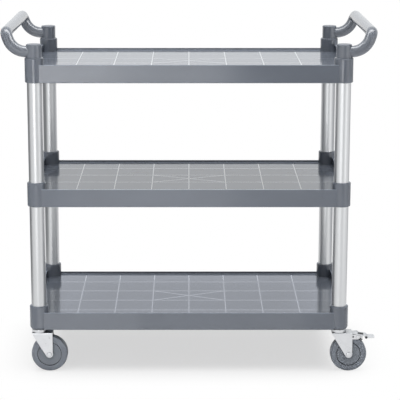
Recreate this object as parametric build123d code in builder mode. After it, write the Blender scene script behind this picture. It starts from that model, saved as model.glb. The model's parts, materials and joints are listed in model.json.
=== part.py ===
from build123d import *
import os
from math import atan2, cos, degrees, hypot, radians, sin, tan

# Three-tier serving trolley: moulded tray shelves on tube posts, end handles and swivel casters.
# Millimetres, +Z up. The origin is on the floor under the middle of the trolley. X runs from handle
# to handle, Y from the front long side to the rear one, which has the low rim.

# Posts
post_span_x = 830.0
post_span_y = 448.0
post_diameter = 41.0
post_wall = 1.5
lower_pitch = 348.0
upper_pitch = 340.0

# Shelf moulding, heights from the underside of its skirt
skirt_height = 49.0
floor_height = 28.0
floor_thickness = 4.0
rear_lip = 6.0
wall = 4.0
side_offset = 21.0
end_offset = 18.0
corner_radius = 18.0
rim_round = 1.2
skirt_round = 2.0
cove_radius = 4.5

# Lines of the tray floor: raised beads above, ribs below
line_pitch_x = 104.0
line_pitch_y = 97.0
lines_across = 7
lines_along = 4
bead_width = 5.0
bead_height = 0.15
rib_thickness = 2.5
rib_depth = 13.0

# Corner sockets
socket_wall = 4.9
socket_height = 66.5
socket_clearance = 0.1
socket_top_round = 3.0
socket_foot_round = 2.5
caster_socket_round = 8.0
web_height = 28.0
web_thickness = 5.0
web_hole_diameter = 16.0
caster_web_thickness = 12.0

# Handles
handle_diameter = 31.0
handle_reach = 74.7
handle_rise = 50.4
arm_lean = 18.7
elbow_bend = 18.0
straight_between_bends = 0.7
arm_clearance = 0.5
stub_cap = 4.6
stub_wall = 3.5
stub_round = 2.0

# Wheels
wheel_diameter = 100.0
tyre_width = 30.0
tyre_thickness = 17.0
tyre_shoulder = 6.0
groove_width = 2.4
groove_depth = 4.5
disc_recess = 1.0
disc_dish = 1.5
hub_diameter = 24.0
bush_diameter = 12.0

# Axles
axle_diameter = 8.0
axle_head_diameter = 13.0
axle_head_height = 3.0
axle_head_round = 2.4
axle_nut_width = 13.0
axle_nut_height = 4.0
thread_end = 1.0

# Forks
caster_trail = 28.0
fork_gap = 36.0
leg_thickness = 2.5
crown_thickness = 3.0
crown_gap = 9.0
fork_foot_radius = 9.5
fork_front = 19.0
fork_bend = 2.5

# Swivel heads
head_height = 9.0
stem_diameter = 12.0
stem_nut_width = 19.0
stem_nut_height = 10.0
stem_end = 4.0
rivet_diameter = 18.0
rivet_height = 3.2
rivet_round = 1.6
bearing_inner_diameter = 14.0
bearing_outer_diameter = 35.0
cap_diameter = 42.0
cap_plate = 4.0
cap_rim = 2.5
cap_round = 1.5

# Foot brakes
pivot_angle = 25.6
pivot_gap = 5.8
pin_diameter = 5.0
pin_head_diameter = 9.0
pin_head_height = 1.8
pin_head_round = 0.8
barrel_diameter = 9.2
ear_radius = 6.5
shoe_gap = 3.0
shoe_thickness = 3.5
shoe_start_angle = 31.5
shoe_end_angle = 43.0
shoe_width = 26.0
spring_hole_angle = 12.5
spring_hole_reach = 52.3
spring_hole_diameter = 5.0
pedal_width = 31.0
pedal_plate = 2.5
pedal_gap = 1.5
pedal_slope = 8.5
pedal_slope_run = 24.0
pedal_step = 4.3
pedal_tip_length = 19.5
pedal_tip_round = 8.0
pedal_bend = 2.5
tread_pin_diameter = 4.0
tread_pin_head_diameter = 6.4
tread_pin_head_height = 1.6
tread_barrel_diameter = 7.2
pad_start = 2.0
pad_length = 15.0
pad_width = 8.5
pad_thickness = 1.6

# Clearances
running_clearance = 0.06
seat_clearance = 0.05
side_clearance = 0.3
select_tolerance = 0.05

# Places worked out from the sizes
post_radius = post_diameter / 2
post_x = post_span_x / 2
post_y = post_span_y / 2
bore_radius = post_radius + socket_clearance
socket_radius = bore_radius + socket_wall
shelf_length = post_span_x + 2 * end_offset
shelf_width = post_span_y + 2 * side_offset
tray_length = shelf_length - 2 * wall
tray_width = shelf_width - 2 * wall
tray_corner = corner_radius - wall
under_floor = floor_height - floor_thickness
web_top = web_height + web_thickness
wheel_radius = wheel_diameter / 2
core_radius = wheel_radius - tyre_thickness
crown_under = wheel_diameter + crown_gap
crown_top = crown_under + crown_thickness
fork_width = fork_gap + 2 * leg_thickness
fork_back = caster_trail + fork_foot_radius
bottom_shelf_z = crown_top + head_height
middle_shelf_z = bottom_shelf_z + lower_pitch
top_shelf_z = middle_shelf_z + upper_pitch
arm_z = top_shelf_z + socket_height + arm_clearance + handle_diameter / 2
grip_z = arm_z + handle_rise
stub_foot = top_shelf_z + web_top
stub_top = arm_z + handle_diameter / 2 + stub_cap
pivot_reach = wheel_radius + pivot_gap
pivot_x = caster_trail + pivot_reach * sin(radians(pivot_angle))
pivot_z = wheel_radius + pivot_reach * cos(radians(pivot_angle))
pedal_start_x = fork_back + pedal_gap
step_x = pivot_x + pedal_slope_run

corners = {
    "front_left": (-1, -1),
    "front_right": (1, -1),
    "rear_left": (-1, 1),
    "rear_right": (1, 1),
}
braked_corners = ("front_right", "rear_right")

# Way along X that each caster trails; the last one has swivelled round
caster_ways = {"front_left": 1, "front_right": 1, "rear_left": 1, "rear_right": -1}


def save(shape, name, x=0.0, y=0.0, z=0.0, turn=0.0):
    """Turn a finished piece about Z, put it in its place, label it and write its file."""
    placed = shape.moved(Location((x, y, z), (0, 0, turn)))
    placed.label = name
    export_step(placed, f"parts/{name}.step")


def at_level(shapes, z):
    """Keep the edges or faces whose middle lies at one height."""
    return shapes.filter_by_position(Axis.Z, z - select_tolerance, z + select_tolerance)


def facing(y, outward):
    """Sketch plane square to the axle at one Y, facing the front (-1) or the rear (1)."""
    return Plane(origin=(caster_trail, y, wheel_radius), x_dir=(1, 0, 0), z_dir=(0, outward, 0))


def around_axle(radius, angle):
    """Point at an angle back from the top of the wheel, as X and Z."""
    turn = radians(angle)
    return caster_trail + radius * sin(turn), wheel_radius + radius * cos(turn)


def draw_floor_lines(width, length_x, length_y):
    """Grid of the tray floor with the cross in its middle, drawn in the open sketch."""
    with GridLocations(line_pitch_x, line_pitch_y, 1, lines_along):
        Rectangle(length_x, width)
    with GridLocations(line_pitch_x, line_pitch_y, lines_across, 1):
        Rectangle(width, length_y)
    slope = degrees(atan2(line_pitch_y, 2 * line_pitch_x))
    for angle in (slope, -slope):
        Rectangle(hypot(2 * line_pitch_x, line_pitch_y), width, rotation=angle)


def make_tray():
    """Tray of a shelf without its sockets, standing at height zero."""
    lip_z = floor_height + rear_lip
    with BuildPart() as tray:
        with BuildSketch(Plane.XY):
            RectangleRounded(shelf_length, shelf_width, corner_radius)
        extrude(amount=skirt_height)
        fillet(at_level(tray.edges(), 0), skirt_round)
        with BuildSketch(Plane.XY.offset(floor_height)):
            RectangleRounded(tray_length, tray_width, tray_corner)
        extrude(amount=skirt_height - floor_height, mode=Mode.SUBTRACT)
        fillet(at_level(tray.edges(), skirt_height), rim_round)
        fillet(at_level(tray.edges(), floor_height), cove_radius)

        # Low rim along the rear, so that things can be slid off that way
        with BuildSketch(Plane.XY.offset(lip_z)):
            with Locations((0, shelf_width / 2)):
                Rectangle(post_span_x, 4 * wall)
        extrude(amount=skirt_height, mode=Mode.SUBTRACT)
        fillet(at_level(tray.edges().filter_by(Axis.X), lip_z), rim_round)

        # Hollow underside with ribs, and beads above on the same lines
        with BuildSketch(Plane.XY):
            RectangleRounded(tray_length, tray_width, tray_corner)
        extrude(amount=under_floor, mode=Mode.SUBTRACT)
        with BuildSketch(Plane.XY.offset(under_floor - rib_depth)):
            draw_floor_lines(rib_thickness, tray_length + wall, tray_width + wall)
        extrude(amount=rib_depth)
        with BuildSketch(Plane.XY.offset(floor_height)):
            draw_floor_lines(bead_width, tray_length, tray_width)
        extrude(amount=bead_height)
    return tray.part


def make_shelf(tray, foot_round, web_low, web_high, web_hole):
    """Tray with its four sockets; the web that stops a post lies between two heights."""
    shoulder_z = socket_height - socket_top_round
    with BuildPart() as shelf:
        add(tray)
        with BuildSketch(Plane.XY):
            with GridLocations(post_span_x, post_span_y, 2, 2):
                Circle(socket_radius)
        extrude(amount=foot_round, mode=Mode.SUBTRACT)
        for side_x, side_y in corners.values():
            axis_point = (side_x * post_x, side_y * post_y, 0)
            with BuildSketch(Plane(origin=axis_point, x_dir=(1, 0, 0), z_dir=(0, -1, 0))):
                with BuildLine():
                    foot = Line((0, 0), (socket_radius - foot_round, 0))
                    foot_arc = TangentArc(foot @ 1, (socket_radius, foot_round), tangent=foot % 1)
                    side = Line(foot_arc @ 1, (socket_radius, shoulder_z))
                    rim = (socket_radius - socket_top_round, socket_height)
                    rim_arc = TangentArc(side @ 1, rim, tangent=side % 1)
                    Polyline(rim_arc @ 1, (0, socket_height), (0, 0))
                make_face()
            revolve(axis=Axis(axis_point, (0, 0, 1)))
        with BuildSketch(Plane.XY.offset(web_high)):
            with GridLocations(post_span_x, post_span_y, 2, 2):
                Circle(bore_radius)
        extrude(amount=socket_height - web_high, mode=Mode.SUBTRACT)
        with BuildSketch(Plane.XY):
            with GridLocations(post_span_x, post_span_y, 2, 2):
                Circle(web_hole / 2)
        extrude(amount=web_high, mode=Mode.SUBTRACT)
        if web_low > 0:
            with BuildSketch(Plane.XY):
                with GridLocations(post_span_x, post_span_y, 2, 2):
                    Circle(bore_radius)
            extrude(amount=web_low, mode=Mode.SUBTRACT)
    return shelf.part


def make_post(length):
    """Tube that stands on one socket's web and reaches the next one's."""
    with BuildPart() as post:
        with BuildSketch(Plane.XY):
            Circle(post_radius)
            Circle(post_radius - post_wall, mode=Mode.SUBTRACT)
        extrude(amount=length)
    return post.part


def make_handle(side):
    """Hoop of one end: two stubs for the top sockets, two bent arms and the grip between them."""
    stub_x = side * post_x
    grip_x = side * (post_x + handle_reach)
    knee_x = grip_x - side * arm_lean
    arm_turn = atan2(handle_rise, arm_lean)
    arm_length = hypot(handle_rise, arm_lean)
    arm_bend = (arm_length - elbow_bend - straight_between_bends) / tan(arm_turn / 2)
    with BuildPart() as handle:
        with BuildLine() as route:
            FilletPolyline(
                (stub_x, -post_y, arm_z),
                (knee_x, -post_y, arm_z),
                (grip_x, -post_y, grip_z),
                (grip_x, post_y, grip_z),
                (knee_x, post_y, arm_z),
                (stub_x, post_y, arm_z),
                radius=[arm_bend, elbow_bend, elbow_bend, arm_bend],
            )
        with BuildSketch(Plane(origin=route.line @ 0, z_dir=route.line % 0)):
            Circle(handle_diameter / 2)
        sweep()
        with BuildSketch(Plane.XY.offset(stub_foot)):
            with Locations((stub_x, -post_y), (stub_x, post_y)):
                Circle(post_radius)
        extrude(amount=stub_top - stub_foot)
        fillet(at_level(handle.edges().filter_by(GeomType.CIRCLE), stub_top), stub_round)
        with BuildSketch(Plane.XY.offset(stub_foot)):
            with Locations((stub_x, -post_y), (stub_x, post_y)):
                Circle(post_radius - stub_wall)
        extrude(amount=stub_top - stub_cap - stub_foot, mode=Mode.SUBTRACT)
    return handle.part


def make_stem_nuts():
    """Four nuts on the webs inside the bottom sockets, which hold the caster stems."""
    with BuildPart() as nuts:
        with BuildSketch(Plane.XY.offset(bottom_shelf_z + caster_web_thickness)):
            with GridLocations(post_span_x, post_span_y, 2, 2):
                RegularPolygon(stem_nut_width / 2, 6, major_radius=False)
                Circle(stem_diameter / 2 + seat_clearance, mode=Mode.SUBTRACT)
        extrude(amount=stem_nut_height)
    return nuts.part


def make_caster_stem():
    """Kingpin with its riveted head under the fork's crown."""
    rivet_z = crown_under - side_clearance - rivet_height
    stem_top = bottom_shelf_z + caster_web_thickness + stem_nut_height + stem_end
    with BuildPart() as stem:
        with BuildSketch(Plane.XY.offset(rivet_z)):
            Circle(rivet_diameter / 2)
        extrude(amount=rivet_height)
        fillet(at_level(stem.edges(), rivet_z), rivet_round)
        with BuildSketch(Plane.XY.offset(rivet_z)):
            Circle(stem_diameter / 2)
        extrude(amount=stem_top - rivet_z)
        chamfer(at_level(stem.edges(), stem_top), thread_end)
    return stem.part


def make_swivel_cap():
    """Fixed dust cap under a socket, with a rim round the thrust bearing."""
    rim_z = crown_top + 2 * side_clearance
    with BuildPart() as cap:
        with BuildSketch(Plane.XY.offset(rim_z)):
            Circle(cap_diameter / 2)
        extrude(amount=bottom_shelf_z - rim_z)
        fillet(at_level(cap.edges(), bottom_shelf_z), cap_round)
        with BuildSketch(Plane.XY.offset(rim_z)):
            Circle(cap_diameter / 2 - cap_rim)
        extrude(amount=bottom_shelf_z - cap_plate - rim_z, mode=Mode.SUBTRACT)
        with BuildSketch(Plane.XY.offset(rim_z)):
            Circle(stem_diameter / 2 + seat_clearance)
        extrude(amount=bottom_shelf_z - rim_z, mode=Mode.SUBTRACT)
    return cap.part


def make_swivel_bearing():
    """Thrust ring that lies on the fork's crown and turns under the cap."""
    with BuildPart() as bearing:
        with BuildSketch(Plane.XY.offset(crown_top)):
            Circle(bearing_outer_diameter / 2)
            Circle(bearing_inner_diameter / 2, mode=Mode.SUBTRACT)
        extrude(amount=head_height - cap_plate - side_clearance)
    return bearing.part


def make_fork(braked):
    """Pressed fork with a flat crown and two tapered legs, which have ears where there is a brake."""
    with BuildPart() as fork:
        with BuildSketch(Plane.XZ):
            with Locations((caster_trail, wheel_radius)):
                Circle(fork_foot_radius)
            with Locations(((fork_back - fork_front) / 2, crown_top - crown_thickness / 2)):
                Rectangle(fork_back + fork_front, crown_thickness)
            make_hull()
        extrude(amount=fork_width / 2, both=True)
        if braked:
            with BuildSketch(Plane.XZ):
                with Locations((pivot_x, pivot_z)):
                    Circle(ear_radius)
                with Locations((caster_trail, pivot_z)):
                    Rectangle(fork_foot_radius, 2 * ear_radius)
                make_hull()
            extrude(amount=fork_width / 2, both=True)
            with BuildSketch(Plane.XZ):
                with Locations((pivot_x, pivot_z)):
                    Circle(pin_diameter / 2 + seat_clearance)
                with Locations(around_axle(spring_hole_reach, spring_hole_angle)):
                    Circle(spring_hole_diameter / 2)
            extrude(amount=fork_width / 2, both=True, mode=Mode.SUBTRACT)
        fillet(at_level(fork.edges().filter_by(Axis.X), crown_top), fork_bend)
        with BuildSketch(Plane.XY):
            Rectangle(4 * fork_back, fork_gap)
        extrude(amount=crown_under, mode=Mode.SUBTRACT)
        with BuildSketch(Plane.XY.offset(crown_under)):
            Circle(stem_diameter / 2 + running_clearance)
        extrude(amount=crown_thickness, mode=Mode.SUBTRACT)
        with BuildSketch(Plane.XZ):
            with Locations((caster_trail, wheel_radius)):
                Circle(axle_diameter / 2 + seat_clearance)
        extrude(amount=fork_width / 2, both=True, mode=Mode.SUBTRACT)
    return fork.part


def make_axle(outward):
    """Axle bolt with its domed head on the leg that faces outward."""
    head_y = outward * (fork_width / 2 + axle_head_height)
    with BuildPart() as axle:
        with BuildSketch(facing(outward * fork_width / 2, outward)):
            Circle(axle_head_diameter / 2)
        extrude(amount=axle_head_height)
        rims = axle.edges().filter_by_position(Axis.Y, head_y - select_tolerance, head_y + select_tolerance)
        fillet(rims, axle_head_round)
        with BuildSketch(facing(outward * fork_width / 2, -outward)):
            Circle(axle_diameter / 2)
        extrude(amount=fork_width + axle_nut_height + thread_end)
    return axle.part


def make_axle_nut(outward):
    """Nut of the axle bolt, on the leg that faces inward."""
    with BuildPart() as nut:
        with BuildSketch(facing(-outward * fork_width / 2, -outward)):
            RegularPolygon(axle_nut_width / 2, 6, major_radius=False)
            Circle(axle_diameter / 2 + seat_clearance, mode=Mode.SUBTRACT)
        extrude(amount=axle_nut_height)
    return nut.part


def make_wheel_bush():
    """Plain bearing of the wheel, which keeps its hub clear of the legs."""
    with BuildPart() as bush:
        with BuildSketch(facing(0, 1)):
            Circle(bush_diameter / 2)
            Circle(axle_diameter / 2 + running_clearance, mode=Mode.SUBTRACT)
        extrude(amount=fork_gap / 2 - side_clearance, both=True)
    return bush.part


def make_wheel_core():
    """Moulded wheel centre: hub, dished disc and a rim with half of the groove."""
    bore = bush_diameter / 2 + seat_clearance
    hub_side = fork_gap / 2 - 2 * side_clearance
    rim_side = tyre_width / 2 - disc_recess
    groove_side = tyre_width / 2 - groove_depth
    with BuildPart() as core:
        with BuildSketch(Plane(origin=(caster_trail, 0, wheel_radius))):
            with BuildLine():
                Polyline(
                    (bore, 0),
                    (bore, hub_side),
                    (hub_diameter / 2, hub_side),
                    (hub_diameter / 2, rim_side - disc_dish),
                    (core_radius - groove_width / 2, rim_side),
                    (core_radius - groove_width / 2, groove_side),
                    (core_radius, groove_side),
                    (core_radius, 0),
                    close=True,
                )
            make_face()
            mirror(about=Plane.XZ)
        revolve(axis=Axis((caster_trail, 0, wheel_radius), (0, 1, 0)))
    return core.part


def make_tyre():
    """Tyre with rounded shoulders and the other half of the groove."""
    inner = core_radius + seat_clearance
    side = tyre_width / 2
    with BuildPart() as tyre:
        with BuildSketch(Plane(origin=(caster_trail, 0, wheel_radius))):
            with BuildLine():
                flank = Polyline(
                    (inner, 0),
                    (inner, side - groove_depth),
                    (inner + groove_width / 2, side - groove_depth),
                    (inner + groove_width / 2, side),
                    (wheel_radius - tyre_shoulder, side),
                )
                shoulder_end = (wheel_radius, side - tyre_shoulder)
                shoulder = TangentArc(flank @ 1, shoulder_end, tangent=flank % 1)
                Polyline(shoulder @ 1, (wheel_radius, 0), (inner, 0))
            make_face()
            mirror(about=Plane.XZ)
        revolve(axis=Axis((caster_trail, 0, wheel_radius), (0, 1, 0)))
    return tyre.part


def make_brake_pin():
    """Pin across the fork's ears, with a flat head on each side."""
    pin_end = fork_width / 2 + pin_head_height
    with BuildPart() as pin:
        with BuildSketch(Plane.XZ):
            with Locations((pivot_x, pivot_z)):
                Circle(pin_diameter / 2)
        extrude(amount=pin_end, both=True)
        for outward in (-1, 1):
            ear_face = Plane(origin=(pivot_x, outward * fork_width / 2, pivot_z), z_dir=(0, outward, 0))
            with BuildSketch(ear_face):
                Circle(pin_head_diameter / 2)
            extrude(amount=pin_head_height)
        ends = pin.faces().sort_by(Axis.Y)
        fillet(ends[0].edges() + ends[-1].edges(), pin_head_round)
    return pin.part


def pedal_z(x):
    """Height of the middle of the pedal's plate on its slope, which passes over the barrel."""
    return pivot_z + barrel_diameter / 2 - (x - pivot_x) * tan(radians(pedal_slope))


def make_brake_pedal():
    """Pedal that rocks on the brake pin: a stepped plate, two barrels and the arm for the shoe."""
    shoe_back = wheel_radius + shoe_gap + shoe_thickness
    arm_x = around_axle(shoe_back, shoe_end_angle)[0]
    tip_z = pedal_z(step_x) - pedal_step
    with BuildPart() as pedal:
        with BuildSketch(Plane.XZ):
            with BuildLine() as plate:
                FilletPolyline(
                    (pedal_start_x, pedal_z(pedal_start_x)),
                    (step_x, pedal_z(step_x)),
                    (step_x + pedal_step, tip_z),
                    (step_x + pedal_step + pedal_tip_length, tip_z),
                    radius=pedal_bend,
                )
            trace(plate.edges(), line_width=pedal_plate)
        extrude(amount=pedal_width / 2, both=True)
        fillet(pedal.edges().filter_by(Axis.Z).group_by(Axis.X)[-1], pedal_tip_round)
        with BuildSketch(Plane.XZ):
            with BuildLine():
                Polyline(
                    (pivot_x, pedal_z(pivot_x)),
                    (arm_x, pedal_z(arm_x)),
                    (arm_x, wheel_radius),
                    (pivot_x, wheel_radius),
                    close=True,
                )
            make_face()
            with Locations((caster_trail, wheel_radius)):
                Circle(shoe_back, mode=Mode.SUBTRACT)
        extrude(amount=shoe_width / 2, both=True)
        with BuildSketch(Plane.XZ):
            with Locations((pivot_x, pivot_z)):
                Circle(barrel_diameter / 2)
        extrude(amount=fork_gap / 2 - side_clearance, both=True)
        with BuildSketch(Plane.XZ):
            with Locations((step_x, pedal_z(step_x) - tread_barrel_diameter / 2)):
                Circle(tread_barrel_diameter / 2)
        extrude(amount=pedal_width / 2, both=True)
        with BuildSketch(Plane.XZ):
            with Locations((pivot_x, pivot_z)):
                Circle(pin_diameter / 2 + running_clearance)
            with Locations((step_x, pedal_z(step_x) - tread_barrel_diameter / 2)):
                Circle(tread_pin_diameter / 2 + seat_clearance)
        extrude(amount=fork_width / 2, both=True, mode=Mode.SUBTRACT)
    return pedal.part


def make_tread_pin():
    """Dark pin with two heads through the barrel at the pedal's step."""
    pin_z = pedal_z(step_x) - tread_barrel_diameter / 2
    with BuildPart() as pin:
        with BuildSketch(Plane.XZ):
            with Locations((step_x, pin_z)):
                Circle(tread_pin_diameter / 2)
        extrude(amount=pedal_width / 2, both=True)
        for outward in (-1, 1):
            plate_side = Plane(origin=(step_x, outward * pedal_width / 2, pin_z), z_dir=(0, outward, 0))
            with BuildSketch(plate_side):
                Circle(tread_pin_head_diameter / 2)
            extrude(amount=tread_pin_head_height)
    return pin.part


def make_brake_shoe():
    """Rubber shoe under the pedal's arm, curved to the tyre."""
    front = wheel_radius + shoe_gap
    back = front + shoe_thickness
    middle_angle = (shoe_start_angle + shoe_end_angle) / 2
    with BuildPart() as shoe:
        with BuildSketch(Plane.XZ):
            with BuildLine():
                near = ThreePointArc(
                    around_axle(front, shoe_start_angle),
                    around_axle(front, middle_angle),
                    around_axle(front, shoe_end_angle),
                )
                far = ThreePointArc(
                    around_axle(back, shoe_end_angle),
                    around_axle(back, middle_angle),
                    around_axle(back, shoe_start_angle),
                )
                Line(near @ 1, far @ 0)
                Line(far @ 1, near @ 0)
            make_face()
        extrude(amount=shoe_width / 2, both=True)
    return shoe.part


def make_pedal_pad():
    """Rubber grip pad on the pedal's slope."""
    top = Plane(origin=(pivot_x, 0, pedal_z(pivot_x))).rotated((0, pedal_slope, 0)).offset(pedal_plate / 2)
    with BuildPart() as pad:
        with BuildSketch(top):
            with Locations((pad_start + pad_length / 2, 0)):
                Rectangle(pad_length, pad_width)
        extrude(amount=pad_thickness)
        fillet(pad.faces().sort_by(Axis.Z)[-1].edges(), pad_thickness / 3)
    return pad.part


os.makedirs("parts", exist_ok=True)

# Shelves, handles and posts
stem_hole = stem_diameter + 2 * seat_clearance
tray = make_tray()
caster_shelf = make_shelf(tray, caster_socket_round, 0, caster_web_thickness, stem_hole)
post_shelf = make_shelf(tray, socket_foot_round, web_height, web_top, web_hole_diameter)
save(caster_shelf, "bottom_shelf", z=bottom_shelf_z)
save(post_shelf, "middle_shelf", z=middle_shelf_z)
save(post_shelf, "top_shelf", z=top_shelf_z)
save(make_handle(-1), "handle_left")
save(make_handle(1), "handle_right")
save(make_stem_nuts(), "stem_nuts")
lower_foot = bottom_shelf_z + caster_web_thickness
upper_foot = middle_shelf_z + web_top
lower_post = make_post(middle_shelf_z + web_height - lower_foot)
upper_post = make_post(top_shelf_z + web_height - upper_foot)

# Casters
stem = make_caster_stem()
cap = make_swivel_cap()
bearing = make_swivel_bearing()
bush = make_wheel_bush()
core = make_wheel_core()
tyre = make_tyre()
brake_pieces = {
    "brake_pin": make_brake_pin(),
    "brake_pedal": make_brake_pedal(),
    "brake_shoe": make_brake_shoe(),
    "pedal_pad": make_pedal_pad(),
    "tread_pin": make_tread_pin(),
}
for corner, (side_x, side_y) in corners.items():
    place = (side_x * post_x, side_y * post_y)
    save(lower_post, f"lower_post_{corner}", *place, lower_foot)
    save(upper_post, f"upper_post_{corner}", *place, upper_foot)
    save(stem, f"caster_stem_{corner}", *place)
    save(cap, f"swivel_cap_{corner}", *place)

    # Pieces that swivel, with the axle's head on the trolley's outside
    way = caster_ways[corner]
    turn = degrees(atan2(0, way))
    save(bearing, f"swivel_bearing_{corner}", *place, turn=turn)
    save(make_fork(corner in braked_corners), f"fork_{corner}", *place, turn=turn)
    save(make_axle(way * side_y), f"axle_{corner}", *place, turn=turn)
    save(make_axle_nut(way * side_y), f"axle_nut_{corner}", *place, turn=turn)
    save(bush, f"wheel_bush_{corner}", *place, turn=turn)
    save(core, f"wheel_core_{corner}", *place, turn=turn)
    save(tyre, f"tyre_{corner}", *place, turn=turn)
    if corner in braked_corners:
        for name, piece in brake_pieces.items():
            save(piece, f"{name}_{corner}", *place, turn=turn)
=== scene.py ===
import json
import math

import bpy
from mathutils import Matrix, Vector


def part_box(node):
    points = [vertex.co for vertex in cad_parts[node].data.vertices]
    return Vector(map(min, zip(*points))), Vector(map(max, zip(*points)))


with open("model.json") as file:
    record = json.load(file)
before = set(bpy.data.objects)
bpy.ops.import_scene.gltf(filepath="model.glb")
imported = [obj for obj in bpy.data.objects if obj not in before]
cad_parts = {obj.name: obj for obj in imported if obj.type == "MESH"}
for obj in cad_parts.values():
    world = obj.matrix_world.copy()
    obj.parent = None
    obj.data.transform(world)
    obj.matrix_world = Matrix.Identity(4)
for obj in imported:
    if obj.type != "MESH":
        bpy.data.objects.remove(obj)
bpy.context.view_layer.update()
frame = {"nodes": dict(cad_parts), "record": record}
nodes = frame["nodes"]
scene = bpy.context.scene

# Heights of the shelves, from the frame, and sizes of their moulding, repeated from the solids, in metres
shelf_bases = [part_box(name)[0].z for name in ("bottom_shelf", "middle_shelf", "top_shelf")]
floor_height = 0.028
bead_height = 0.00015
bead_width = 0.005
bead_crown = 0.0026
line_pitch_x = 0.104
rim_height = 0.049
rim_round = 0.0012
rim_upward = 0.3
tray_half_length = 0.4285
tray_half_width = 0.2405
# Width of the strip along the low rear rim that carries a painted highlight
rear_highlight_width = 0.011

# Stubs of the handles: they end below the top of the grips, and the arms begin outside of them
stub_drop = 0.0487
stub_outer_x = 0.4365
stub_matt_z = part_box("handle_left")[1].z - stub_drop
stub_roughness = 0.40
handle_skin = 0.60

# Cosine between the rounded and the true normal where an edge is fully worn, and where it is untouched
edge_worn, edge_plain = 0.80, 0.97
edge_samples = 4

# Painted shade in narrow places: open share of the view where the painted shade is darkest, and where it is
# gone
shade_deepest_open, shade_free_open = 0.30, 0.95
crevice_samples = 6

# Places of the colours among the sockets of a mix node
mix_first, mix_second, mix_result = 6, 7, 2


class Tree:
    """Node tree with short ways to add nodes and to join them."""

    def __init__(self, tree):
        self.tree = tree

    def fill(self, socket, value):
        """Joins a socket to an output, or sets it to a constant."""
        if hasattr(value, "is_output"):
            self.tree.links.new(value, socket)
        elif socket.type == "RGBA":
            socket.default_value = (*value, 1.0)
        else:
            socket.default_value = value

    def node(self, kind, **inputs):
        """New node with some of its inputs filled."""
        new = self.tree.nodes.new("ShaderNode" + kind)
        for key, value in inputs.items():
            self.fill(new.inputs[key.replace("_", " ")], value)
        return new

    def math(self, operation, first, second=0.0):
        new = self.node("Math")
        new.operation = operation
        self.fill(new.inputs[0], first)
        self.fill(new.inputs[1], second)
        return new.outputs["Value"]

    def all_of(self, first, *others):
        """Mask that is 1 where all of some masks are 1."""
        for other in others:
            first = self.math("MULTIPLY", first, other)
        return first

    def dot(self, first, second):
        """Dot product of two directions."""
        new = self.node("VectorMath")
        new.operation = "DOT_PRODUCT"
        self.fill(new.inputs[0], first)
        self.fill(new.inputs[1], second)
        return new.outputs["Value"]

    def ramp(self, value, low, high, to_low=0.0, to_high=1.0, soft=False):
        """Maps one range of values to another, straight or with soft ends."""
        new = self.node("MapRange", Value=value, From_Min=low, From_Max=high, To_Min=to_low, To_Max=to_high)
        if soft:
            new.interpolation_type = "SMOOTHSTEP"
        return new.outputs["Result"]

    def mix(self, factor, first, second):
        """Mixes two colours."""
        new = self.node("Mix")
        new.data_type = "RGBA"
        self.fill(new.inputs["Factor"], factor)
        self.fill(new.inputs[mix_first], first)
        self.fill(new.inputs[mix_second], second)
        return new.outputs[mix_result]

    def blend(self, factor, first, second):
        """Mixes two surfaces or backgrounds."""
        new = self.node("MixShader", Fac=factor)
        self.fill(new.inputs[1], first)
        self.fill(new.inputs[2], second)
        return new.outputs["Shader"]

    def seen_directly(self):
        """1 for the rays that see the background: camera, glossy and transmission rays."""
        path = self.node("LightPath").outputs
        mask = self.math("MAXIMUM", path["Is Camera Ray"], path["Is Glossy Ray"])
        return self.math("MAXIMUM", mask, path["Is Transmission Ray"])


class Shader(Tree):
    """Material of one slot, with its textures in the coordinates of the frame."""

    def __init__(self, name):
        self.material = bpy.data.materials.new(name)
        self.material.use_nodes = True
        super().__init__(self.material.node_tree)
        self.surface = self.tree.nodes["Principled BSDF"]
        self.coords = self.node("TexCoord").outputs["Object"]

    def set(self, **inputs):
        """Fills inputs of the surface."""
        for key, value in inputs.items():
            self.fill(self.surface.inputs[key.replace("_", " ")], value)

    def noise(self, scale, detail=2.0, roughness=0.5, stretch=None):
        vector = self.coords
        if stretch:
            vector = self.node("Mapping", Vector=vector, Scale=stretch).outputs["Vector"]
        new = self.node("TexNoise", Vector=vector, Scale=scale, Detail=detail, Roughness=roughness)
        return new.outputs["Fac"]

    def bump(self, height, strength, distance):
        return self.node("Bump", Height=height, Strength=strength, Distance=distance).outputs["Normal"]

    def edges(self, radius, share):
        """Mask of the sharp edges: the share where the rounded normal leaves the true one."""
        rounded = self.node("Bevel", Radius=radius)
        rounded.samples = edge_samples
        bend = self.dot(rounded.outputs["Normal"], self.node("NewGeometry").outputs["Normal"])
        return self.ramp(bend, edge_plain, edge_worn, 0.0, share)

    def painted_crevice_shade(self, reach, share):
        """Mask of painted shade in narrow places: the share where near surfaces close the view."""
        new = self.node("AmbientOcclusion", Distance=reach)
        new.samples = crevice_samples
        return self.ramp(new.outputs["AO"], shade_deepest_open, shade_free_open, share, 0.0)


def shade(value):
    """Linear value of an 8-bit screen tone."""
    tone = value / 255
    return tone / 12.92 if tone <= 0.04045 else ((tone + 0.055) / 1.055) ** 2.4


def colour(*tones):
    """Linear colour of three 8-bit screen tones."""
    return tuple(shade(tone) for tone in tones)


def scaled(base, factor):
    """Colour made paler or darker, up to white."""
    return tuple(min(1.0, c * factor) for c in base)


# Colours of more than one finish, and what grease leaves of a colour
plastic_grey = colour(106, 112, 122)
dust_grey = colour(176, 175, 170)
grease_tint = (0.86, 0.80, 0.66)


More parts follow.
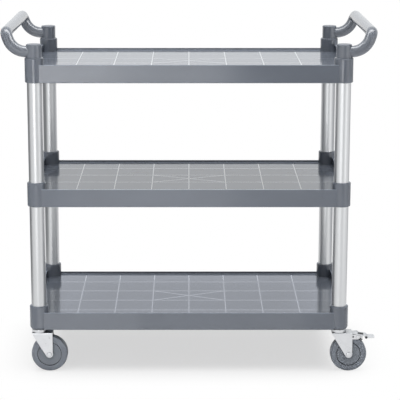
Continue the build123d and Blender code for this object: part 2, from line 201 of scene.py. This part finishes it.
def shelf_wear_and_highlights(s, base, tone):
    """Paler places of a shelf: the beads of its floor, partly rubbed and partly a painted highlight, and
    painted highlights on a strip along the low rear rim and on the upper sides of its rims.
    """
    parts = s.node("SeparateXYZ", Vector=s.coords)
    x, y, z = (parts.outputs[axis] for axis in "XYZ")

    # Height above the base of the shelf that a point belongs to
    level = s.math("SUBTRACT", z, shelf_bases[0])
    for low, high in zip(shelf_bases, shelf_bases[1:]):
        passed = s.math("GREATER_THAN", z, (low + high) / 2)
        level = s.math("SUBTRACT", level, s.math("MULTIPLY", passed, high - low))

    # Floor of the tray, with the tops of its raised lines
    inside_x = s.math("LESS_THAN", s.math("ABSOLUTE", x), tray_half_length)
    inside_y = s.math("LESS_THAN", s.math("ABSOLUTE", y), tray_half_width)
    on_floor = s.all_of(inside_x, inside_y, s.math("LESS_THAN", level, floor_height + 2 * bead_height))
    over_floor = s.math("GREATER_THAN", level, floor_height + 0.1 * bead_height)
    to_line = s.math("PINGPONG", x, line_pitch_x / 2)
    off_crown = s.math("GREATER_THAN", to_line, bead_crown / 2)
    flank = s.all_of(off_crown, s.math("LESS_THAN", to_line, bead_width / 2))
    raised = s.all_of(on_floor, over_floor, s.math("SUBTRACT", 1.0, flank))

    # Painted highlight: a paler strip along the low rear rim
    at_rear = s.math("GREATER_THAN", y, tray_half_width - rear_highlight_width)
    rear_strip_highlight = s.all_of(on_floor, at_rear, s.math("GREATER_THAN", level, floor_height - bead_height))

    # Painted highlight on the upper sides of the rims
    normal = s.node("SeparateXYZ", Vector=s.node("NewGeometry").outputs["Normal"])
    facing_up = s.math("GREATER_THAN", normal.outputs["Z"], rim_upward)
    high_enough = s.math("GREATER_THAN", level, rim_height - rim_round)
    low_enough = s.math("LESS_THAN", level, rim_height + rim_round)
    rim_top_highlight = s.all_of(facing_up, high_enough, low_enough)

    # Paler tones: the bead tops are partly rubbed and partly a painted highlight; the rear strip and the
    # rim tops are painted highlights
    for mask, share, paler in ((raised, 0.9, 1.5), (rear_strip_highlight, 0.5, 2.0), (rim_top_highlight, 0.8, 2.2)):
        tone = s.mix(s.math("MULTIPLY", mask, share), tone, scaled(base, paler))
    s.set(Coat_Weight=raised)
    return tone


def stub_tops(s, rough):
    """Tops of the handle stubs, which are matt where the moulding was cut."""
    parts = s.node("SeparateXYZ", Vector=s.coords)
    over = s.math("GREATER_THAN", parts.outputs["Z"], stub_matt_z)
    beside = s.math("LESS_THAN", s.math("ABSOLUTE", parts.outputs["X"]), stub_outer_x)
    top = s.all_of(over, beside)
    s.set(Coat_Weight=s.ramp(top, 0.0, 1.0, handle_skin, 0.0))
    return s.math("MAXIMUM", rough, s.math("MULTIPLY", top, stub_roughness))


def moulded_plastic(name, base, roughness, coat_roughness, scuffs, grain, shelf):
    """Glossy moulded plastic: faint flow marks, fine scuffs and paler rubbed edges."""
    s = Shader(name)
    flow = s.noise(scale=5.0, detail=3.0, roughness=0.55, stretch=(1.0, 1.6, 2.4))
    tone = s.mix(s.ramp(flow, 0.35, 0.65), scaled(base, 0.96), scaled(base, 1.04))
    scuff = s.noise(scale=160.0, detail=5.0, roughness=0.7, stretch=(0.5, 1.0, 1.0))
    tone = s.mix(s.ramp(scuff, 0.62, 0.78, 0.0, scuffs), tone, scaled(base, 1.25))
    rough = s.ramp(scuff, 0.3, 0.75, roughness - 0.02, roughness + 0.04)
    if shelf:
        tone = shelf_wear_and_highlights(s, base, tone)
    else:
        rough = stub_tops(s, rough)
    tone = s.mix(s.edges(radius=0.0012, share=0.30), tone, scaled(base, 1.5))
    normal = s.bump(s.noise(scale=1600.0, roughness=0.6), strength=grain, distance=0.0001)
    s.set(Base_Color=tone, Roughness=rough, Normal=normal, IOR=1.5, Coat_Roughness=coat_roughness)
    return s.material


def drawn_aluminium(name, base):
    """Anodised tube with very fine lines along its length and a few rubbed patches."""
    s = Shader(name)
    lines = s.noise(scale=1500.0, stretch=(1.0, 1.0, 0.002))
    rubbed = s.noise(scale=14.0, detail=3.0, roughness=0.6, stretch=(1.0, 1.0, 0.30))
    tone = s.mix(s.ramp(lines, 0.35, 0.65), scaled(base, 0.97), scaled(base, 1.03))
    normal = s.bump(lines, strength=0.02, distance=0.0001)
    rough = s.ramp(rubbed, 0.3, 0.7, 0.36, 0.42)
    s.set(Base_Color=tone, Roughness=rough, Normal=normal, Metallic=1.0)
    return s.material


def plated_steel(name, base, clouds):
    """Plating on pressed steel: faint clouds, a roll grain, rubbed edges, and painted shade in crevices."""
    s = Shader(name)
    cloud = s.noise(scale=60.0, detail=4.0, roughness=0.6)
    roll = s.noise(scale=900.0, stretch=(0.04, 1.0, 1.0))
    tone = s.mix(s.ramp(cloud, 0.35, 0.65), scaled(base, clouds), base)
    tone = s.mix(s.edges(radius=0.0008, share=0.5), tone, scaled(base, 1.12))
    # Painted shade: darker wherever near surfaces close the view, in crevices and around small parts
    tone = s.mix(s.painted_crevice_shade(reach=0.030, share=0.75), tone, scaled(base, 0.25))
    normal = s.bump(roll, strength=0.03, distance=0.0001)
    rough = s.ramp(cloud, 0.3, 0.7, 0.27, 0.33)
    s.set(Base_Color=tone, Roughness=rough, Normal=normal, Metallic=1.0)
    return s.material


def rubber(name, base, roughness, dust):
    """Rubber or matt plastic with a fine grain, painted shade in crevices, and pale dust in patches and
    along edges.
    """
    s = Shader(name)
    patch = s.noise(scale=38.0, detail=4.0, roughness=0.65)
    tone = s.mix(s.ramp(patch, 0.40, 0.75, 0.0, dust), base, dust_grey)
    tone = s.mix(s.edges(radius=0.0010, share=2.0 * dust), tone, dust_grey)
    # Painted shade: darker wherever near surfaces close the view, in crevices and near the floor
    tone = s.mix(s.painted_crevice_shade(reach=0.008, share=0.55), tone, scaled(base, 0.35))
    normal = s.bump(s.noise(scale=900.0, detail=3.0, roughness=0.6), strength=0.05, distance=0.0002)
    rough = s.ramp(patch, 0.3, 0.7, roughness - 0.05, roughness + 0.07)
    s.set(Base_Color=tone, Roughness=rough, Normal=normal)
    return s.material


def nylon(name, base):
    """Natural nylon, slightly waxy and yellowed by grease."""
    s = Shader(name)
    patch = s.noise(scale=120.0, detail=3.0, roughness=0.6)
    greased = tuple(c * share for c, share in zip(base, grease_tint))
    tone = s.mix(s.ramp(patch, 0.4, 0.7, 0.0, 0.5), base, greased)
    normal = s.bump(s.noise(scale=1100.0), strength=0.10, distance=0.0002)
    rough = s.ramp(patch, 0.3, 0.7, 0.38, 0.50)
    s.set(Base_Color=tone, Roughness=rough, Normal=normal)
    return s.material


# One material for each slot
materials = {
    "shelf_plastic": moulded_plastic("shelf_plastic", plastic_grey, roughness=0.12, coat_roughness=0.05,
                                     scuffs=0.25, grain=0.02, shelf=True),
    "handle_plastic": moulded_plastic("handle_plastic", plastic_grey, roughness=0.20, coat_roughness=0.20,
                                      scuffs=0.10, grain=0.004, shelf=False),
    "post_aluminium": drawn_aluminium("post_aluminium", (0.62, 0.63, 0.64)),
    "zinc_steel": plated_steel("zinc_steel", (0.71, 0.72, 0.74), clouds=0.95),
    # The near-black tread pins stand for the shade at the step of each brake pedal: painted shade
    "dark_steel": plated_steel("dark_steel", (0.06, 0.06, 0.065), clouds=0.80),
    "tyre_rubber": rubber("tyre_rubber", colour(125, 131, 141), roughness=0.46, dust=0.08),
    "wheel_plastic": rubber("wheel_plastic", colour(124, 130, 139), roughness=0.36, dust=0.05),
    "bearing_nylon": nylon("bearing_nylon", colour(226, 224, 214)),
    "shoe_rubber": rubber("shoe_rubber", colour(62, 64, 67), roughness=0.55, dust=0.08),
}

# Every node takes the material of its slot
for subpart in frame["record"]["subparts"]:
    piece = nodes[subpart["node"]]
    piece.data.materials.clear()
    piece.data.materials.append(materials[subpart["material_slot"]])


def bare_material(name):
    """Material of the studio, with an empty node tree."""
    material = bpy.data.materials.new(name)
    material.use_nodes = True
    material.node_tree.nodes.clear()
    return material, Tree(material.node_tree)


def stage_mesh(name, corners, material):
    """One flat four-cornered sheet of the studio."""
    mesh = bpy.data.meshes.new(name)
    mesh.from_pydata(corners, [], [(0, 1, 2, 3)])
    mesh.materials.append(material)
    sheet = bpy.data.objects.new(name, mesh)
    bpy.context.collection.objects.link(sheet)
    return sheet


# Floor: white where it is seen, apart from a soft shadow, which is deepest in a core under the trolley
shadow_half_x, shadow_half_y = 0.37, 0.16
shadow_fade = 0.22
shadow_glow = 0.62
floor_paint = (0.88, 0.88, 0.88)
floor_reach = 30.0
floor_material, floor_tree = bare_material("floor")
floor_point = floor_tree.node("NewGeometry").outputs
spot = floor_tree.node("SeparateXYZ", Vector=floor_point["Position"])


def beyond(axis, half):
    """Square of the distance from the core of the shadow along one axis."""
    past = floor_tree.math("SUBTRACT", floor_tree.math("ABSOLUTE", spot.outputs[axis]), half)
    return floor_tree.math("POWER", floor_tree.math("MAXIMUM", past, 0.0), 2.0)


squares = floor_tree.math("ADD", beyond("X", shadow_half_x), beyond("Y", shadow_half_y))
away = floor_tree.math("POWER", squares, 0.5)
glow_share = floor_tree.ramp(away, 0.0, shadow_fade, shadow_glow, 1.0, soft=True)
paint = floor_tree.node("BsdfDiffuse", Color=floor_paint).outputs["BSDF"]
glow = floor_tree.node("Emission", Strength=1.0).outputs["Emission"]
seen_glow = floor_tree.math("MULTIPLY", floor_tree.seen_directly(), glow_share)
upper_side = floor_tree.blend(seen_glow, paint, glow)

# From below, the camera looks through the floor at the underside
camera_ray = floor_tree.node("LightPath").outputs["Is Camera Ray"]
from_below = floor_tree.math("MULTIPLY", camera_ray, floor_point["Backfacing"])
clear = floor_tree.node("BsdfTransparent").outputs["BSDF"]
floor_tree.node("OutputMaterial", Surface=floor_tree.blend(from_below, upper_side, clear))
floor_corners = [(x * floor_reach, y * floor_reach, 0) for x, y in ((-1, -1), (1, -1), (1, 1), (-1, 1))]
floor = stage_mesh("floor", floor_corners, floor_material)

# The cards are a slightly cool grey
card_tint = (1.0, 1.03, 1.06)


def grey_card(name, near, far, height, tone, fade=0.0):
    """Upright card that only reflections show. It can fade out over the last share of its length."""
    material, tree = bare_material(name)
    surface = tree.node("Emission", Color=scaled(card_tint, tone)).outputs["Emission"]
    if fade:
        along = tree.node("SeparateXYZ", Vector=tree.node("TexCoord").outputs["Generated"])
        ending = tree.ramp(along.outputs["Y"], 1.0 - fade, 1.0, soft=True)
        surface = tree.blend(ending, surface, tree.node("BsdfTransparent").outputs["BSDF"])
    tree.node("OutputMaterial", Surface=surface)
    card = stage_mesh(name, [(*near, 0.0), (*far, 0.0), (*far, height), (*near, height)], material)
    card.visible_camera = False
    card.visible_diffuse = False
    card.visible_shadow = False
    card.visible_transmission = False


# Cards beside the trolley and in front of it, which the posts and other glossy pieces mirror
grey_card("card_left", (-1.05, -0.28), (-0.69, 1.40), height=0.95, tone=0.26, fade=0.65)
grey_card("card_right", (1.05, 0.10), (0.69, 1.40), height=0.95, tone=0.55, fade=0.65)
grey_card("card_front", (0.25, -4.62), (2.40, -4.62), height=1.0, tone=0.30)


def soft_box(name, place, target, size, radiance, only=(),
             reflected=True, spread=180.0, tint=(1.0, 1.0, 1.0)):
    """Rectangular lamp that faces a point, for all nodes or only some.

    Either reflections show it, or it lights matt surfaces.
    """
    lamp = bpy.data.lights.new(name, "AREA")
    lamp.shape = "RECTANGLE"
    lamp.size, lamp.size_y = size
    lamp.energy = radiance * math.pi * size[0] * size[1]
    lamp.spread = math.radians(spread)
    lamp.color = tint
    box = bpy.data.objects.new(name, lamp)
    box.location = place
    facing = (Vector(target) - Vector(place)).to_track_quat("-Z", "Y")
    box.rotation_euler = facing.to_euler()
    box.visible_camera = False
    box.visible_diffuse = not reflected
    box.visible_glossy = reflected
    bpy.context.collection.objects.link(box)
    if only:
        box.light_linking.receiver_collection = bpy.data.collections.new(name + "_targets")
        for node in only:
            box.light_linking.receiver_collection.objects.link(nodes[node])
    return box


# The key lights matt surfaces from above in front, in a narrow beam
key = soft_box("key", (-0.60, -3.00, 3.00), (-0.15, -0.20, 0.42), (1.00, 1.00), 0.65,
               reflected=False, spread=28.0)

# Lamps that only reflections show: place, point they face, width and height, radiance, nodes that show them
off_shelves = [name for name in nodes if not name.endswith("_shelf")]
off_plastic = [name for name in off_shelves if not name.startswith("handle_")]
top, middle, bottom = ["top_shelf"], ["middle_shelf"], ["bottom_shelf"]

# Upright streaks on posts, stubs and sockets
soft_box("streak", (-0.74, -2.00, 0.72), (-0.14, -0.10, 0.60), (0.30, 1.40), 1.5, off_shelves)
soft_box("streak_top", (-0.74, -2.00, 0.60), (-0.14, -0.10, 0.60), (0.30, 0.26), 1.3, top)
soft_box("streak_middle", (-0.74, -2.00, 0.13), (-0.14, -0.10, 0.13), (0.30, 0.24), 1.3, middle)

# Panels far off in front, for posts and casters and for the skirt of the top shelf
soft_box("front", (-0.71, -4.70, 0.60), (-0.71, 0.00, 0.60), (1.88, 1.10), 1.9, off_plastic)
soft_box("front_left", (-1.03, -4.66, 0.60), (-1.03, 0.00, 0.60), (1.24, 1.10), 1.6, off_plastic)
soft_box("top_low", (-0.71, -4.70, 0.22), (-0.71, 0.00, 0.22), (1.88, 0.40), 2.3, top)
soft_box("top_left", (-1.03, -4.66, 0.22), (-1.03, 0.00, 0.22), (1.24, 0.40), 2.0, top)

# Panels that lie in front for the skirts of the lower shelves, and one behind that cools the lowest tray
rear_blue = (0.5, 0.62, 1.0)
soft_box("middle_low", (-0.17, -2.45, 0.01), (-0.17, -2.45, 1.00), (0.70, 0.80), 1.20, middle)
soft_box("bottom_low", (-0.10, -0.72, 0.01), (-0.10, -0.72, 1.00), (0.90, 0.45), 0.58, bottom)
soft_box("bottom_rear", (0.00, 3.00, 1.05), (0.00, 0.00, 0.15), (3.20, 1.00), 0.24, bottom, tint=rear_blue)
soft_box("bottom_left", (-0.35, -0.72, 0.012), (-0.35, -0.72, 1.00), (0.40, 0.45), 0.60, bottom)

# Fainter streaks from the right
soft_box("side", (1.65, -1.25, 0.72), (0.30, -0.10, 0.60), (0.60, 1.40), 0.9)

# Highlights along the arms of the handles
handles = ["handle_left", "handle_right"]
soft_box("overhead", (0.00, -0.25, 2.40), (0.00, -0.20, 0.90), (2.40, 0.70), 6.6, handles)
soft_box("wing_right", (1.45, -0.83, 1.75), (-0.49, -0.20, 0.93), (1.00, 1.50), 8.0, ["handle_left"])
soft_box("wing_left", (-1.45, -0.83, 1.75), (0.49, -0.20, 0.93), (1.00, 1.50), 3.5, ["handle_right"])

# The key stays off the floor, so that the only shadow there is the soft one from above
key_targets = bpy.data.collections.new("key_targets")
key_targets.objects.link(floor)
key.light_linking.receiver_collection = key_targets
key_targets.collection_objects[0].light_linking.link_state = "EXCLUDE"

# Studio light on matt surfaces, from all round and from soft-edged panels behind, in front and above
ambient = 0.12

# Each panel: direction, cosine at its outer edge, cosine where it is full, brightness
panels = (
    ((0.0, 1.0, 0.25), 0.70, 0.95, 0.62),
    ((-0.10, -0.80, 0.58), 0.70, 0.95, 0.45),
    ((0.0, 0.12, 1.0), 0.78, 0.97, 5.40),
)

# Seen directly or in a reflection, the surroundings are a cool white
background_white = (0.975, 0.99, 1.0)
world = bpy.data.worlds.new("studio")
scene.world = world
world.use_nodes = True
world.node_tree.nodes.clear()
world_tree = Tree(world.node_tree)
direction = world_tree.node("TexCoord").outputs["Generated"]
brightness = ambient
for towards, edge, full, level in panels:
    facing = world_tree.dot(direction, Vector(towards).normalized())
    panel = world_tree.ramp(facing, edge, full, 0.0, level, soft=True)
    brightness = world_tree.math("ADD", panel, brightness)
studio = world_tree.node("Background", Strength=brightness).outputs["Background"]
white = world_tree.node("Background", Color=background_white, Strength=1.0).outputs["Background"]
world_tree.node("OutputWorld", Surface=world_tree.blend(world_tree.seen_directly(), studio, white))

# Camera at the photograph's angle, tilted down
camera_tilt = 11.993
camera_data = bpy.data.cameras.new("camera")
camera_data.sensor_width = 36.0
camera_data.lens = 140.5
camera_data.shift_x = 0.03
camera_data.shift_y = -0.047
camera = bpy.data.objects.new("camera", camera_data)
bpy.context.collection.objects.link(camera)
camera.location = (-0.0026, -4.38, 1.42)
camera.rotation_euler = (math.radians(90.0 - camera_tilt), 0.0, 0.0)
scene.camera = camera
scene.view_settings.view_transform = "Standard"
